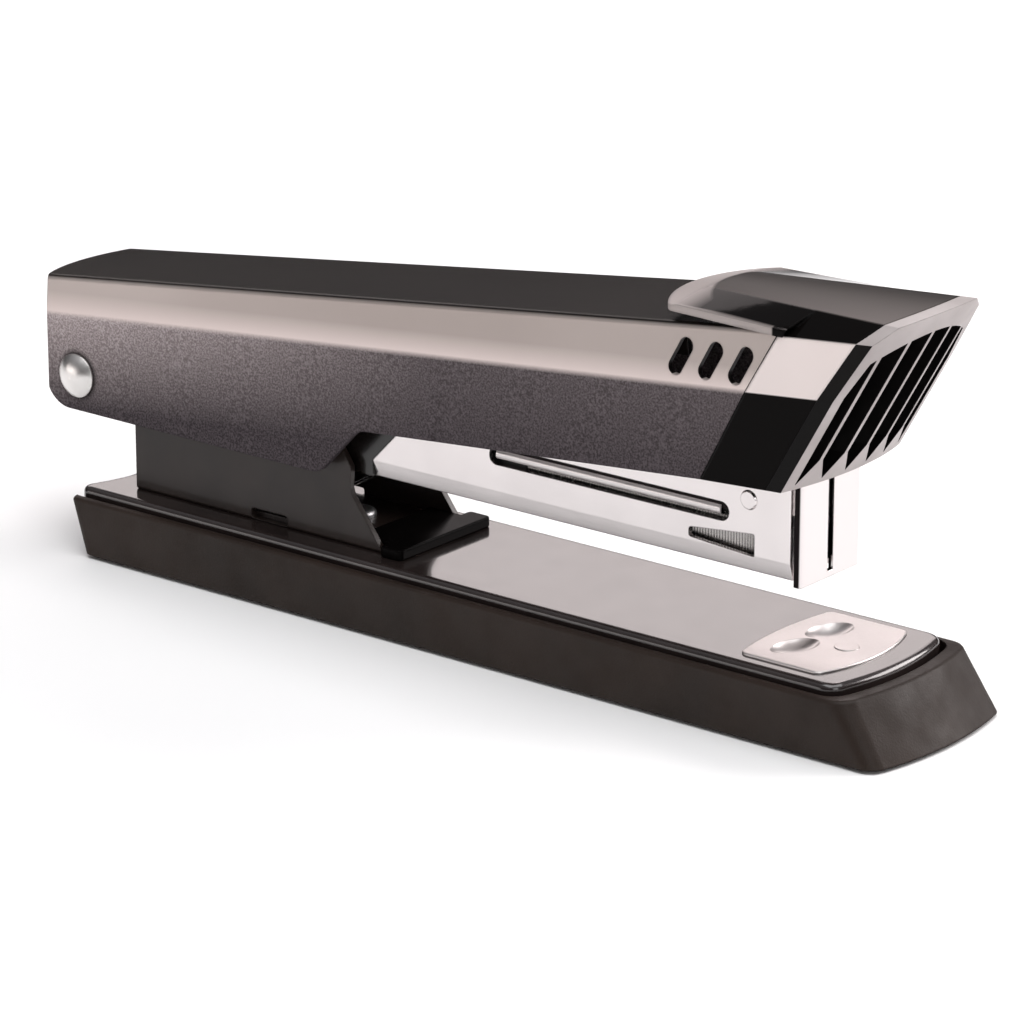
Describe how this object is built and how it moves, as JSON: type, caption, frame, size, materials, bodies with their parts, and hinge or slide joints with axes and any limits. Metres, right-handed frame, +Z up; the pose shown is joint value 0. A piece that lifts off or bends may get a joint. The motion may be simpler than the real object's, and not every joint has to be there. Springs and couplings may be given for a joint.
{
  "type": "desk stapler",
  "caption": "Full-strip desk stapler: hinged arm with driver blade, spring-fed magazine and steel base with clinching anvil.",
  "frame": {"origin": "on the desk, under the middle of the stapler", "axes": "+X from the hinge to the nose, +Y across the stapler, +Z up"},
  "size_m": [0.1668, 0.0324, 0.0634],
  "materials": {
    "housing_plastic": "matte moulded plastic, dark brown-grey",
    "sole_rubber": "soft black rubber",
    "brown_paint": "satin dark brown-grey paint",
    "plain_steel": "plain zinc-plated steel",
    "bright_steel": "bright pressed steel",
    "black_gloss": "glossy black plastic",
    "spring_steel": "hardened spring steel",
    "polished_chrome": "polished chrome",
    "washer_plastic": "black nylon",
    "bright_nickel": "bright nickel plate",
    "black_metal": "black paint",
    "staple_wire": "galvanised staple wire",
    "arm_paint": "satin dark brown paint, finely textured on the sides",
    "grille_plastic": "light grey satin plastic"
  },
  "bodies": {
    "base": {"base_housing": "housing_plastic", "rubber_sole": "sole_rubber", "base_plate": "brown_paint", "weld_nuts": "plain_steel", "base_screws": "plain_steel", "anvil_plate": "bright_steel", "anvil_backing": "plain_steel", "anvil_rivet": "bright_steel", "hinge_bracket": "brown_paint", "bracket_rivets": "plain_steel", "bracket_lip": "black_gloss", "lift_spring": "spring_steel", "hinge_pin": "polished_chrome", "hinge_pin_cap": "polished_chrome", "hinge_washers": "washer_plastic"},
    "magazine": {"magazine_sheath": "bright_nickel", "magazine_tail": "black_metal", "magazine_front_plate": "bright_nickel", "staple_guides": "bright_nickel", "magazine_rivets": "bright_nickel", "staple_rail": "plain_steel", "staple_strip": "staple_wire", "magazine_end_block": "washer_plastic", "rod_holder": "washer_plastic", "pusher_rod": "plain_steel", "pusher_spring": "spring_steel"},
    "pusher": {"pusher": "washer_plastic"},
    "arm": {"arm_cover": "arm_paint", "arm_stiffener": "plain_steel", "driver_leaf": "spring_steel", "leaf_rivets": "plain_steel", "driver_blade": "spring_steel", "driver_rivets": "plain_steel", "arm_spring": "spring_steel", "nose_cap": "black_gloss", "nose_grille": "grille_plastic"}
  },
  "joints": [
    {"name": "magazine_hinge", "type": "hinge", "parent": "base", "child": "magazine", "pos_m": [-0.0737, 0, 0.0276], "axis": [0, 1, 0], "range_deg": [0, 3.9], "stiffness_Nm_per_rad": 3, "springref_deg": -2.86, "deforming": ["lift_spring"]},
    {"name": "arm_hinge", "type": "hinge", "parent": "magazine", "child": "arm", "pos_m": [-0.0737, 0, 0.0276], "axis": [0, 1, 0], "range_deg": [-75, 3.4], "stiffness_Nm_per_rad": 1.2, "springref_deg": -3.44, "deforming": ["arm_spring"]},
    {"name": "pusher_slide", "type": "slide", "parent": "magazine", "child": "pusher", "axis": [1, 0, 0], "range_m": [-0.036, 0], "stiffness_N_per_m": 25, "springref_m": 0.05, "deforming": ["pusher_spring"]}
  ]
}
